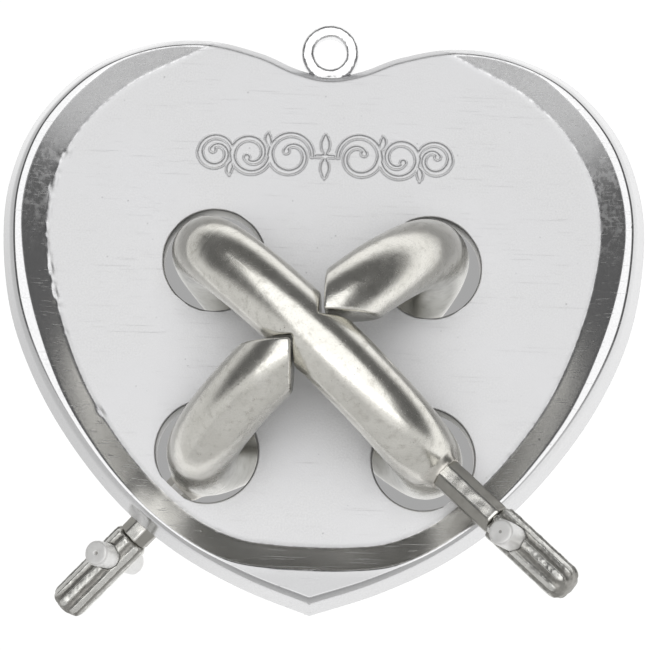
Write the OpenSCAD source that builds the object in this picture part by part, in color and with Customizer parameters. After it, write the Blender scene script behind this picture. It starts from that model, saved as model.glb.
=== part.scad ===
// Disentanglement puzzle: a heart-shaped cast plate with four holes, and two
// identical open rings threaded through opposite pairs of holes.
// Each ring has a notched waist on one side of the plate and a gap between two
// wedge-ended stubs on the other side. The waist of one ring lies in the gap of
// the other, on the front and again on the back. Each ring carries an arm: an
// octagonal stem, a fluted barrel and a cross pin that reaches past the rim.
// Frame: origin at the centre of the hanging loop's bore, +Z up, +X to the
// right seen from the front, the engraved face looks along -Y.

/* [Heart plate] */
// Overall width of the heart at its parting line
heart_w = 59.5; // [58.5:0.25:61]
// Distance from the face plane to the back of the plate
plate_t = 4; // [3.6:0.1:4.4]
// Height of the raised rim above the face plane
rim_h = 1.3; // [0.8:0.1:1.6]
// Width of the sloping inner wall of the rim
rim_slope = 2.4; // [2:0.1:2.5]
// How far the front edge is drafted in from the parting line
draft_front = 1; // [0.6:0.05:1.1]
// How far the back edge is drafted in from the parting line
draft_back = 0.4; // [0.2:0.05:0.6]

/* [Holes] */
// Diameter of the four ring holes
hole_d = 9.4; // [9.3:0.05:9.6]
// Centre distance of the holes, left to right
hole_dx = 19.9; // [19.8:0.05:20]
// Centre distance of the holes, up and down
hole_dz = 17.8; // [17.7:0.05:17.9]

/* [Hanging loop] */
// Bore diameter of the loop
loop_id = 3; // [2.8:0.1:3.2]
// Outer diameter of the loop
loop_od = 5.3; // [5.1:0.1:5.5]
// Thickness of the loop, front to back
loop_t = 1.8; // [1.6:0.1:2]

/* [Rings] */
// Diameter of the ring's round bar
tube_d = 6.45; // [6.3:0.05:6.45]
// Radius of the bar's centre line
ring_r = 14.15; // [14.05:0.05:14.15]
// Half-width of the waist left between the two V notches
waist = 1.5; // [1.3:0.1:1.6]
// Gap between a notch and the wedge end that points into it
play = 0.45; // [0.4:0.05:0.55]
// Lean of both rings in their holes at rest, front crossing upwards
lean = 2.8; // [2:0.1:3.5]
// Yaw of both rings in their holes at rest, front crossing to the left
yaw = 2.9; // [0:0.1:3]
// Turn of the back ring against the front ring, seen from the front
back_turn = 1; // [0:0.1:1]
// Shift of the front ring in its holes at rest, to the left
shift_x = 0.2; // [0.1:0.05:0.25]
// Shift of both rings in their holes at rest, upwards
shift_z = 0.4; // [0.1:0.05:0.4]
// Shift of the back ring in its holes at rest, to the left
back_shift_x = 0.05; // [0:0.05:0.25]

/* [Arms] */
// Angle of the arm from the ring's depth axis
arm_angle = 73.5; // [72.5:0.5:76]
// Angle by which the arm swings out of the ring's plane, downwards
arm_swing = 1.3; // [0:0.1:2]
// Size of the octagonal stem across its flats
stem_af = 2.9; // [2.6:0.1:3]
// Where the stem ends and the barrel begins, from the ring's centre
collar_r = 24.6; // [24.2:0.1:25]
// Where the barrel ends, from the ring's centre
tip_r = 34.2; // [34:0.1:35]
// Diameter of the barrel over its flutes
barrel_d = 3.5; // [3.4:0.1:3.7]
// Number of flutes on the barrel
flutes = 8; // [6:1:10]
// Diameter of the cross pin
pin_d = 2.4; // [2.2:0.1:2.4]
// Length of the cross pin
pin_l = 8; // [7.4:0.1:8.2]
// Distance of the cross pin from the barrel's tip
pin_back = 6.9; // [6.6:0.1:7.2]
// Turn of the cross pin about the arm's axis
pin_roll = 12; // [0:1:20]

/* [Hidden] */
$fn = 64;
k = heart_w / 59.5;        // outline scale
hub_z = -29;               // centre of the four holes, below the loop's bore
diag = atan2(hole_dz, hole_dx);
face_y = -plate_t / 2;     // the flat face
back_y = plate_t / 2;      // the flat back
top_y = face_y - rim_h;    // the top of the rim
part_y = 0.2;              // the parting line
tube_r = tube_d / 2;
stem_in = ring_r + 1.2;    // the stem's inner end, inside the bar
spig_r = 0.9;              // the stem's spigot in the barrel
spig_l = 1.5;
pin_r = tip_r - pin_back;
pin_out = 4.3;             // the pin's longer end, from the arm's axis

// Half outlines, from the notch round to the tip: heart, then face boundary.
HEART = [[0, 26.9], [3, 27.5], [6.5, 28.9], [11.5, 29.9], [17.1, 29.3],
         [22.7, 26.7], [27.1, 21.9], [29.3, 16.3], [29.7, 10.5], [28.7, 3.7],
         [26.2, -2.6], [22.5, -8.5], [17.8, -13.9], [12.4, -18.1],
         [6.4, -21.2], [0, -23.5]];
FACE = [[0, 32.1], [5.1, 31.2], [10.1, 29.4], [14.1, 27.5], [18.1, 25.3],
        [21.8, 22], [24.4, 17.9], [25.5, 13.3], [25.1, 8.2], [23.7, 2.8],
        [21.3, -3], [18.1, -7.9], [14.6, -11.9], [10.8, -15], [7, -16.7],
        [3.5, -17.2], [0, -17.3]];
STEPS = 6;

// A Catmull-Rom point on the segment from b to c.
function cr(a, b, c, d, t) =
    0.5 * (2 * b + (c - a) * t + (2 * a - 5 * b + 4 * c - d) * t * t
           + (3 * b - a - 3 * c + d) * t * t * t);
function mir(p) = [-p[0], p[1]];
// The smooth half outline; round_tip false leaves a corner at the last point.
function half_line(P, round_tip) =
    let (n = len(P))
    [for (i = [0 : n - 2]) for (j = [0 : STEPS - 1])
        let (a = i == 0 ? mir(P[1]) : P[i - 1],
             d = i == n - 2 ? (round_tip ? mir(P[n - 2])
                                         : 2 * P[n - 1] - P[n - 2]) : P[i + 2])
        cr(a, P[i], P[i + 1], d, j / STEPS)];
function close_line(P, H) =
    let (m = len(H))
    concat(H, [P[len(P) - 1]], [for (i = [m - 1 : -1 : 1]) mir(H[i])]);
function outline(P, round_tip) = close_line(P, half_line(P, round_tip));
function unit(v) = v / norm(v);
// The outline moved outward by o along its own normals.
function shifted(L, o) =
    let (n = len(L))
    [for (i = [0 : n - 1])
        let (t = unit(L[(i + 1) % n] - L[(i + n - 1) % n]))
        L[i] + o * [-t[1], t[0]]];

// A closed solid through the same outline at several depths, each [y, offset].
module loft(L, levels) {
    n = len(L);
    m = len(levels);
    pts = [for (v = levels) for (p = shifted(L, v[1])) [k * p[0], v[0], k * p[1] + hub_z]];
    sides = [for (r = [0 : m - 2]) for (i = [0 : n - 1]) for (h = [0, 1])
        let (a = r * n + i, b = r * n + (i + 1) % n)
        h == 0 ? [a, b + n, b] : [a, a + n, b + n]];
    caps = [[for (i = [0 : n - 1]) i], [for (i = [n - 1 : -1 : 0]) (m - 1) * n + i]];
    polyhedron(points = pts, faces = concat(sides, caps), convexity = 6);
}

module heart_plate() color([0.86, 0.86, 0.87]) difference() {
    loft(outline(HEART, false),
         [[top_y, -draft_front], [part_y, 0], [back_y, -draft_back]]);
    loft(outline(FACE, true),
         [[top_y - 1, rim_slope + rim_slope / rim_h], [face_y, 0]]);
    for (sx = [-1, 1]) for (sz = [-1, 1])
        translate([sx * hole_dx / 2, 0, hub_z + sz * hole_dz / 2])
            rotate([90, 0, 0]) cylinder(d = hole_d, h = 3 * plate_t, center = true);
}

module loop_blank(grow) {
    ri = loop_id / 2;
    ro = loop_od / 2;
    c = 0.3;
    h = loop_t / 2;
    rotate([90, 0, 0]) rotate_extrude()
        polygon([[ri, -h + c], [ri + c, -h], [ro - c, -h], [ro, -h + c],
                 [ro, h - c], [ro - c, h], [ri + c, h], [ri, h - c]]);
}
// The loop's foot is cut to the notch that it is soldered into.
module hanging_loop() color([0.9, 0.9, 0.91]) difference() {
    loop_blank();
    loft(outline(HEART, false),
         [[top_y, -draft_front], [part_y, 0], [back_y, -draft_back]]);
}

// Places a ring's own frame in its holes: side 1 is the front ring, and
// side -1 the same casting turned half round about the vertical axis.
module placed(side) {
    translate([side > 0 ? -shift_x : -back_shift_x, 0, hub_z + shift_z])
        rotate([-lean, 0, 0]) rotate([0, 0, -yaw])
            rotate([0, side > 0 ? 0 : -back_turn, 0])
                rotate([0, 0, side > 0 ? 0 : 180]) children();
}
// The arm's own axis becomes +X, its depth side -Y.
module along_arm() {
    rotate([0, diag, 0]) rotate([0, 0, -(90 - arm_angle)])
        translate([ring_r, 0, 0]) rotate([0, arm_swing, 0])
            translate([-ring_r, 0, 0]) children();
}
module stem_bar(x0, x1) {
    translate([x0, 0, 0]) rotate([0, 90, 0]) rotate([0, 0, 22.5])
        cylinder(d = stem_af / cos(22.5), h = x1 - x0, $fn = 8);
}
module pin_bar(grow) {
    rotate([pin_roll, 0, 0]) translate([pin_r, -pin_out - grow, 0]) rotate([-90, 0, 0])
        cylinder(d = pin_d, h = pin_l + 2 * grow);
}

module ring_blank() {
    wx = (waist + play) * cos(diag);
    wz = (waist + play) * sin(diag);
    nx = waist * cos(diag);
    nz = waist * sin(diag);
    b = 9;
    difference() {
        rotate([0, diag, 0]) rotate_extrude($fn = 96)
            translate([ring_r, 0]) rotate(70) circle(d = tube_d, $fn = 48);
        // the two V notches of the waist, in front of the plate
        translate([nx, -2 * ring_r, nz]) cube([b, 2 * ring_r - 5, b]);
        translate([-nx - b, -2 * ring_r, -nz - b]) cube([b, 2 * ring_r - 5, b]);
        // the gap behind the plate, which leaves two wedge-ended stubs
        translate([-wx, 5, -wz]) cube([b, 2 * ring_r, b]);
        translate([wx - b, 5, wz - b]) cube([b, 2 * ring_r, b]);
        along_arm() stem_bar(stem_in, 2 * ring_r);
    }
}
module stem_blank() along_arm() {
    stem_bar(stem_in, collar_r);
    translate([collar_r - 0.5, 0, 0]) rotate([0, 90, 0])
        cylinder(r = spig_r, h = spig_l + 0.5);
}
module barrel_blank() along_arm() difference() {
    translate([collar_r, 0, 0]) rotate([0, 90, 0]) union() {
        len = tip_r - collar_r;
        difference() {
            union() {
                cylinder(d = barrel_d, h = len - 0.7);
                translate([0, 0, len - 0.7])
                    cylinder(d1 = barrel_d, d2 = barrel_d - 1.2, h = 0.7);
            }
            for (i = [0 : flutes - 1]) rotate([0, 0, (i + 0.5) * 360 / flutes])
                translate([barrel_d / 2 + 0.15, 0, -1]) cylinder(r = 0.45, h = len + 2, $fn = 24);
        }
    }
    translate([collar_r - 1, 0, 0]) rotate([0, 90, 0])
        cylinder(r = spig_r, h = spig_l + 1);
    pin_bar(1);
}
module pin_blank() along_arm() rotate([pin_roll, 0, 0]) difference() {
    translate([pin_r, -pin_out, 0]) rotate([-90, 0, 0]) union() {
        cylinder(d1 = pin_d - 0.5, d2 = pin_d, h = 0.25);
        translate([0, 0, 0.25]) cylinder(d = pin_d, h = pin_l - 0.5);
        translate([0, 0, pin_l - 0.25]) cylinder(d1 = pin_d, d2 = pin_d - 0.5, h = 0.25);
    }
    // centre mark left by turning
    translate([pin_r, -pin_out + pin_l - 0.2, 0]) rotate([-90, 0, 0])
        cylinder(d = 0.4, h = 1);
}

module front_ring() color([0.74, 0.73, 0.69]) placed(1) ring_blank();
module back_ring() color([0.7, 0.7, 0.66]) placed(-1) ring_blank();
module front_stem() color([0.72, 0.72, 0.7]) placed(1) stem_blank();
module back_stem() color([0.72, 0.72, 0.7]) placed(-1) stem_blank();
module front_barrel() color([0.66, 0.66, 0.64]) placed(1) barrel_blank();
module back_barrel() color([0.66, 0.66, 0.64]) placed(-1) barrel_blank();
module front_pin() color([0.85, 0.85, 0.84]) placed(1) pin_blank();
module back_pin() color([0.85, 0.85, 0.84]) placed(-1) pin_blank();

heart_plate();
hanging_loop();
front_ring();
back_ring();
front_stem();
back_stem();
front_barrel();
back_barrel();
front_pin();
back_pin();
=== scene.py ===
import math
import bpy
import numpy as np
from mathutils import Vector, Matrix
from mathutils.geometry import delaunay_2d_cdt


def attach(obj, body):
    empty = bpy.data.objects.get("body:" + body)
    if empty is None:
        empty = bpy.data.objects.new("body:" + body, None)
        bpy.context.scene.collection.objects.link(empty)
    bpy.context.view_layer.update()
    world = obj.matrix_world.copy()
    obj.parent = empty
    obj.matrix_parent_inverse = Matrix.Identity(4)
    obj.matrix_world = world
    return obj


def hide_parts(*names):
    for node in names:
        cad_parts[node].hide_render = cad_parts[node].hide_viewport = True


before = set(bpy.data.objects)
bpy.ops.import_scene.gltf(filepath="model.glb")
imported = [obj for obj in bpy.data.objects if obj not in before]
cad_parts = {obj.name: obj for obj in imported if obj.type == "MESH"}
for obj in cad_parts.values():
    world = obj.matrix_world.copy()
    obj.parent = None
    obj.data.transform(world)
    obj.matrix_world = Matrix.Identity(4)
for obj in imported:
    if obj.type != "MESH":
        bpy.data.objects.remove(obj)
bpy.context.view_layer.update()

MM = 0.001
HUB_Z = -29.0            # centre of the four holes, below the loop's bore
rng = np.random.default_rng(41)

# ---------------------------------------------------------------- numbers
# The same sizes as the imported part, in millimetres.
PLATE_T, RIM_H, RIM_SLOPE = 4.0, 1.3, 2.4
DRAFT_F, DRAFT_B, PART_Y = 1.0, 0.4, 0.2
FACE_Y, BACK_Y = -PLATE_T / 2, PLATE_T / 2
HOLE_R, HOLE_DX, HOLE_DZ = 4.7, 19.9, 17.8
LOOP_ID, LOOP_OD, LOOP_T = 3.0, 5.3, 1.8
TUBE_R, RING_R = 3.225, 14.15
WAIST, PLAY = 1.5, 0.45
LEAN, YAW, BACK_TURN = 2.8, 2.9, 1.0
SHIFT_X, BACK_SHIFT_X, SHIFT_Z = 0.2, 0.05, 0.4
ARM_ANGLE, ARM_SWING = 73.5, 1.3
STEM_AF, COLLAR_R, TIP_R = 2.9, 24.6, 34.2
BARREL_R, FLUTES = 1.75, 8
PIN_R, PIN_L, PIN_BACK, PIN_ROLL, PIN_OUT = 1.2, 8.0, 6.9, 12.0, 4.3
DIAG = math.degrees(math.atan2(HOLE_DZ, HOLE_DX))

HEART = [[0, 26.9], [3, 27.5], [6.5, 28.9], [11.5, 29.9], [17.1, 29.3],
         [22.7, 26.7], [27.1, 21.9], [29.3, 16.3], [29.7, 10.5], [28.7, 3.7],
         [26.2, -2.6], [22.5, -8.5], [17.8, -13.9], [12.4, -18.1],
         [6.4, -21.2], [0, -23.5]]
FACE = [[0, 32.1], [5.1, 31.2], [10.1, 29.4], [14.1, 27.5], [18.1, 25.3],
        [21.8, 22], [24.4, 17.9], [25.5, 13.3], [25.1, 8.2], [23.7, 2.8],
        [21.3, -3], [18.1, -7.9], [14.6, -11.9], [10.8, -15], [7, -16.7],
        [3.5, -17.2], [0, -17.3]]


# ---------------------------------------------------------------- helpers
def rot(axis, deg):
    a = math.radians(deg)
    c, s = math.cos(a), math.sin(a)
    return {"x": np.array([[1, 0, 0], [0, c, -s], [0, s, c]]),
            "y": np.array([[c, 0, s], [0, 1, 0], [-s, 0, c]]),
            "z": np.array([[c, -s, 0], [s, c, 0], [0, 0, 1]])}[axis]


def smin(a, b, k):
    h = np.clip(0.5 + 0.5 * (b - a) / k, 0, 1)
    return b + (a - b) * h - k * h * (1 - h)


def smax(a, b, k):
    return -smin(-a, -b, k)


def wobble(p, scale, seed, terms=9):
    """A smooth, repeatable random field of unit size over the points p, in mm."""
    g = np.random.default_rng(seed)
    out = np.zeros(len(p))
    for _ in range(terms):
        d = g.normal(size=3)
        d /= np.linalg.norm(d)
        w = 2 * math.pi / (scale * g.uniform(0.6, 1.6))
        out += np.sin(p @ d * w + g.uniform(0, 6.28))
    return out / math.sqrt(terms / 2)


def new_mesh(name, verts_mm, faces, tris=None, smooth=True):
    """A mesh object from points in mm of the row frame and arrays of quads and triangles."""
    me = bpy.data.meshes.new(name)
    v = (np.asarray(verts_mm, float) * MM).astype(np.float32)
    blocks = [np.asarray(b, np.int32) for b in (faces, tris) if b is not None and len(b)]
    loops = np.concatenate([b.ravel() for b in blocks])
    sizes = np.concatenate([np.full(len(b), b.shape[1], np.int32) for b in blocks])
    starts = np.concatenate([[0], np.cumsum(sizes)[:-1]]).astype(np.int32)
    me.vertices.add(len(v))
    me.vertices.foreach_set("co", v.ravel())
    me.loops.add(len(loops))
    me.loops.foreach_set("vertex_index", loops)
    me.polygons.add(len(sizes))
    me.polygons.foreach_set("loop_start", starts)
    me.update(calc_edges=True)
    me.validate()
    me.polygons.foreach_set("use_smooth", np.full(len(me.polygons), smooth))
    ob = bpy.data.objects.new(name, me)
    bpy.context.scene.collection.objects.link(ob)
    return ob


def float_layer(ob, name, values):
    a = ob.data.attributes.new(name, "FLOAT", "POINT")
    a.data.foreach_set("value", np.asarray(values, np.float32))


def surface_net(f, lo, hi, h, steps=3):
    """Quads over the surface f = 0 in a box, with every point then moved onto it."""
    lo = np.asarray(lo, float)
    n = [int(math.ceil((hi[i] - lo[i]) / h)) + 1 for i in range(3)]
    ax = [lo[i] + h * np.arange(n[i]) for i in range(3)]
    G = np.stack(np.meshgrid(*ax, indexing="ij"), -1)
    V = f(G.reshape(-1, 3), False).reshape(n)
    S = V < 0
    cells = (n[0] - 1, n[1] - 1, n[2] - 1)
    acc, cnt = np.zeros(cells + (3,)), np.zeros(cells)
    crossed = []
    for a in range(3):
        s0, s1 = [slice(None)] * 3, [slice(None)] * 3
        s0[a], s1[a] = slice(0, -1), slice(1, None)
        A, B = V[tuple(s0)], V[tuple(s1)]
        X = S[tuple(s0)] != S[tuple(s1)]
        crossed.append(X)
        t = np.zeros_like(A)
        t[X] = A[X] / (A[X] - B[X])
        pos = G[tuple(s0)].copy()
        pos[..., a] += t * h
        b, c = [x for x in range(3) if x != a]
        for db in (0, 1):
            for dc in (0, 1):
                src = [slice(None)] * 3
                src[b] = slice(db, n[b] - 1 + db)
                src[c] = slice(dc, n[c] - 1 + dc)
                m = X[tuple(src)]
                acc += pos[tuple(src)] * m[..., None]
                cnt += m
    act = cnt > 0
    ids = np.full(cells, -1, np.int64)
    ids[act] = np.arange(act.sum())
    P = acc[act] / cnt[act][:, None]
    quads = []
    for a in range(3):
        b, c = (a + 1) % 3, (a + 2) % 3
        where = np.argwhere(crossed[a])
        where = where[(where[:, b] > 0) & (where[:, c] > 0)
                      & (where[:, b] < n[b] - 1) & (where[:, c] < n[c] - 1)]
        out_up = S[tuple(where.T)]
        corner = []
        for db, dc in ((1, 1), (0, 1), (0, 0), (1, 0)):
            w = where.copy()
            w[:, b] -= db
            w[:, c] -= dc
            corner.append(ids[tuple(w.T)])
        q = np.stack(corner, 1)
        q[~out_up] = q[~out_up][:, ::-1]
        quads.append(q)
    Q = np.concatenate(quads)
    e = 1e-3
    for _ in range(steps):
        v0 = f(P)
        g = np.stack([(f(P + e * np.eye(3)[i]) - f(P - e * np.eye(3)[i])) / (2 * e) for i in range(3)], 1)
        gg = np.maximum((g * g).sum(1), 0.2)
        P = P - np.clip(v0 / gg, -h * 0.6, h * 0.6)[:, None] * g
    return P, Q


# ---------------------------------------------------------------- outlines
def smooth_line(P, steps, round_tip):
    """The half outline through the points P, from the notch to the tip, then its mirror."""
    P = np.asarray(P, float)
    n = len(P)
    mir = lambda p: np.array([-p[0], p[1]])
    out = []
    for i in range(n - 1):
        a = mir(P[1]) if i == 0 else P[i - 1]
        b, c = P[i], P[i + 1]
        d = (mir(P[n - 2]) if round_tip else 2 * P[n - 1] - P[n - 2]) if i == n - 2 else P[i + 2]
        for j in range(steps):
            t = j / steps
            out.append(0.5 * (2 * b + (c - a) * t + (2 * a - 5 * b + 4 * c - d) * t * t
                              + (3 * b - a - 3 * c + d) * t ** 3))
    half = np.array(out)
    return np.concatenate([half, P[-1:], half[1:][::-1] * [-1, 1]])


def seg_dist(p, A, B):
    """Least distance from points p to the segments AB, and the index of the nearest one."""
    best = np.full(len(p), 1e9)
    at = np.zeros(len(p), int)
    for k0 in range(0, len(A), 64):
        a, b = A[k0:k0 + 64], B[k0:k0 + 64]
        ab = b - a
        t = ((p[:, None] - a) * ab).sum(-1) / np.maximum((ab * ab).sum(-1), 1e-12)
        t = np.clip(t, 0, 1)
        d = np.linalg.norm(p[:, None] - (a + t[..., None] * ab), axis=-1)
        m = d.argmin(1)
        dm = d[np.arange(len(p)), m]
        u = dm < best
        best[u], at[u] = dm[u], m[u] + k0
    return best, at


def inside(p, L):
    x, y = p[:, 0][:, None], p[:, 1][:, None]
    a, b = L, np.roll(L, -1, 0)
    c = (a[:, 1] > y) != (b[:, 1] > y)
    xi = a[:, 0] + (y - a[:, 1]) * (b[:, 0] - a[:, 0]) / np.where(b[:, 1] == a[:, 1], 1e-12, b[:, 1] - a[:, 1])
    return (c & (x < xi)).sum(1) % 2 == 1


def signed(p, L):
    """Distance to the closed line L, positive outside it."""
    d, _ = seg_dist(p, L, np.roll(L, -1, 0))
    return np.where(inside(p, L), -d, d)


HEART_L = smooth_line(HEART, 10, False)
FACE_L = smooth_line(FACE, 10, True)
CENTRE = np.array([0.0, 3.0])


class Field:
    """The signed distance to a closed line, read off a fine grid."""

    def __init__(self, L, lo=(-32.0, -27.0), hi=(32.0, 36.0), h=0.2):
        self.lo, self.h = np.array(lo), h
        nx, nz = int((hi[0] - lo[0]) / h) + 1, int((hi[1] - lo[1]) / h) + 1
        X, Z = np.meshgrid(lo[0] + h * np.arange(nx), lo[1] + h * np.arange(nz), indexing="ij")
        p = np.stack([X.ravel(), Z.ravel()], 1)
        self.v = signed(p, L).reshape(nx, nz)

    def __call__(self, p):
        u = (p - self.lo) / self.h
        i = np.clip(u.astype(int), 0, np.array(self.v.shape) - 2)
        t = u - i
        v, (a, b) = self.v, i.T
        return ((v[a, b] * (1 - t[:, 0]) + v[a + 1, b] * t[:, 0]) * (1 - t[:, 1])
                + (v[a, b + 1] * (1 - t[:, 0]) + v[a + 1, b + 1] * t[:, 0]) * t[:, 1])


HEART_F, FACE_F = Field(HEART_L), Field(FACE_L)


def reach(L, theta):
    """How far the line L lies from CENTRE in each direction theta, clockwise from up."""
    q = L - CENTRE
    th = np.arctan2(q[:, 0], q[:, 1])
    r = np.linalg.norm(q, axis=1)
    a = th % (2 * math.pi)
    o = np.argsort(a)
    a, r = a[o], r[o]
    a = np.concatenate([a - 2 * math.pi, a, a + 2 * math.pi])
    return np.interp(theta, a, np.concatenate([r, r, r]))


# ---------------------------------------------------------------- ornament
def ornament():
    """Strokes of a plain running scroll: each is (points, half width at each point)."""
    strokes = []

    def arc(cx, cz, r, a0, a1, w0, w1, shrink=0.0, n=60):
        t = np.linspace(0, 1, n)
        a = np.radians(a0 + (a1 - a0) * t)
        rr = r * (1 - shrink * t)
        strokes.append((np.stack([cx + rr * np.cos(a), cz + rr * np.sin(a)], 1), w0 + (w1 - w0) * t))

    xs, rs = [3.15, 6.85, 10.1], [1.95, 1.75, 1.5]
    for s in (1, -1):
        for i, (x, r) in enumerate(zip(xs, rs)):
            up = 1 if i % 2 == 0 else -1
            n0 = len(strokes)
            arc(x, 0, r, 180 * up, 0, 0.20, 0.26)                       # the running stem
            arc(x, 0, r, 0, -330 * up, 0.30, 0.17, shrink=0.66, n=80)     # the curl inside it
            a = math.radians(-330 * up)
            arc(x + 0.34 * r * math.cos(a) - 0.12, 0.34 * r * math.sin(a) + 0.05 * up, 0.10, 0, 360, 0.22, 0.22, n=12)
            if i < 2:                                                    # a leaf in the spandrel
                xm = x + r
                t = np.linspace(0, 1, 24)
                lx = xm + 0.25 * np.sin(t * 2.2)
                lz = up * (0.75 + 1.35 * t)
                strokes.append((np.stack([lx, lz], 1), 0.30 * np.sin(np.pi * (0.12 + 0.86 * t)) + 0.02))
            if s < 0:
                for j in range(n0, len(strokes)):
                    p, w = strokes[j]
                    strokes[j] = (p * [-1, 1], w)
    t = np.linspace(0, 1, 30)
    for up in (1, -1):                                                   # middle leaves
        strokes.append((np.stack([0 * t, up * (0.25 + 1.85 * t)], 1), 0.42 * np.sin(np.pi * (0.1 + 0.88 * t)) + 0.02))
    strokes.append((np.array([[-0.8, 0], [-0.3, 0.0], [0.3, 0.0], [0.8, 0]]), np.array([0.1, 0.24, 0.24, 0.1])))
    return strokes


ORN_C = np.array([-0.1, 19.0])
ORN_HALF = np.array([12.4, 2.75])


def ornament_relief(p):
    """Height of the engraving at face points p about the ornament's centre."""
    d_in = np.full(len(p), 9.0)
    for pts, w in ornament():
        for k in range(0, len(pts) - 1, 8):
            part, wk = pts[k:k + 9], w[k:k + 9]
            near = ((p > part.min(0) - 1.0) & (p < part.max(0) + 1.0)).all(1)
            if not near.any():
                continue
            wa = 0.5 * (wk[:-1] + wk[1:])
            d, at = seg_dist(p[near], part[:-1], part[1:])
            d_in[near] = np.minimum(d_in[near], d - wa[at])
    groove = -0.07 * np.exp(-(d_in / 0.07) ** 2)
    crown = 0.05 * np.clip(-d_in / 0.22, 0, 1)
    return groove + crown, d_in


# ---------------------------------------------------------------- heart plate
def front_height(p):
    """Height of the front surface above the mid plane at plan points p."""
    s = -HEART_F(p)
    d = FACE_F(p)
    t = d / RIM_SLOPE
    rise = smin(smax(t, np.zeros_like(t), 0.12), np.ones_like(t), 0.10)
    top = -FACE_Y + RIM_H * rise
    wall = -PART_Y + s * (-FACE_Y + RIM_H + PART_Y) / DRAFT_F
    return smin(top, wall, 1.15), s, d


def back_height(s):
    wall = PART_Y + s * (BACK_Y - PART_Y) / DRAFT_B
    return smin(np.full_like(s, BACK_Y), wall, 0.8)


def nicks(p, d):
    """Small casting marks along the foot of the rim's inner wall and on the face."""
    g = np.random.default_rng(7)
    out = np.zeros(len(p))
    L = FACE_L
    left = L[(L[:, 0] < -15)]
    left = left[np.argsort(-left[:, 1])]
    ln = np.concatenate([[0], np.cumsum(np.linalg.norm(np.diff(left, axis=0), axis=1))])

    def on_left(z, off):
        k = np.argmin(np.abs(left[:, 1] - z) + (left[:, 0] > -18) * 0.0)
        t = left[min(k + 1, len(left) - 1)] - left[max(k - 1, 0)]
        t = t / np.linalg.norm(t)
        n = np.array([-t[1], t[0]])
        return left[k] + n * off, t

    marks = []
    for i in range(58):                       # a rough stretch on the left
        z = 19.0 - 15.5 * (i + g.uniform(0, 1)) / 58
        c, t = on_left(z, g.normal(0, 0.22))
        w = g.uniform(0.10, 0.20)
        marks.append((c, t, w, w * g.uniform(1.0, 2.2), g.choice([-1, 1]) * g.uniform(0.03, 0.07)))
    for z, w, l, h in ((7.9, 0.20, 0.62, 0.09), (5.3, 0.22, 0.62, 0.09), (1.9, 0.13, 0.22, 0.05), (-5.4, 0.28, 0.55, 0.09)):
        c, t = on_left(z, 0.05)
        marks.append((c, t, w, l, h))
        marks.append((c + np.array([0.22, 0.1]), t, w * 0.6, l * 0.8, -h * 0.8))
    for i in range(14):
        a = g.uniform(0.4, 5.9)
        r = reach(FACE_L, a) + g.normal(0, 0.2)
        marks.append((CENTRE + r * np.array([math.sin(a), math.cos(a)]), np.array([0.0, 1.0]), g.uniform(0.1, 0.2), g.uniform(0.12, 0.3), g.uniform(-0.04, 0.04)))
    for c, t, w, l, h in marks:
        q = p - c
        near = (np.abs(q) < 2.5).all(1)
        a = q[near] @ t
        b = q[near] @ np.array([-t[1], t[0]])
        out[near] += h * np.exp(-((b / w) ** 2 + (a / l) ** 2))
    return out


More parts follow.
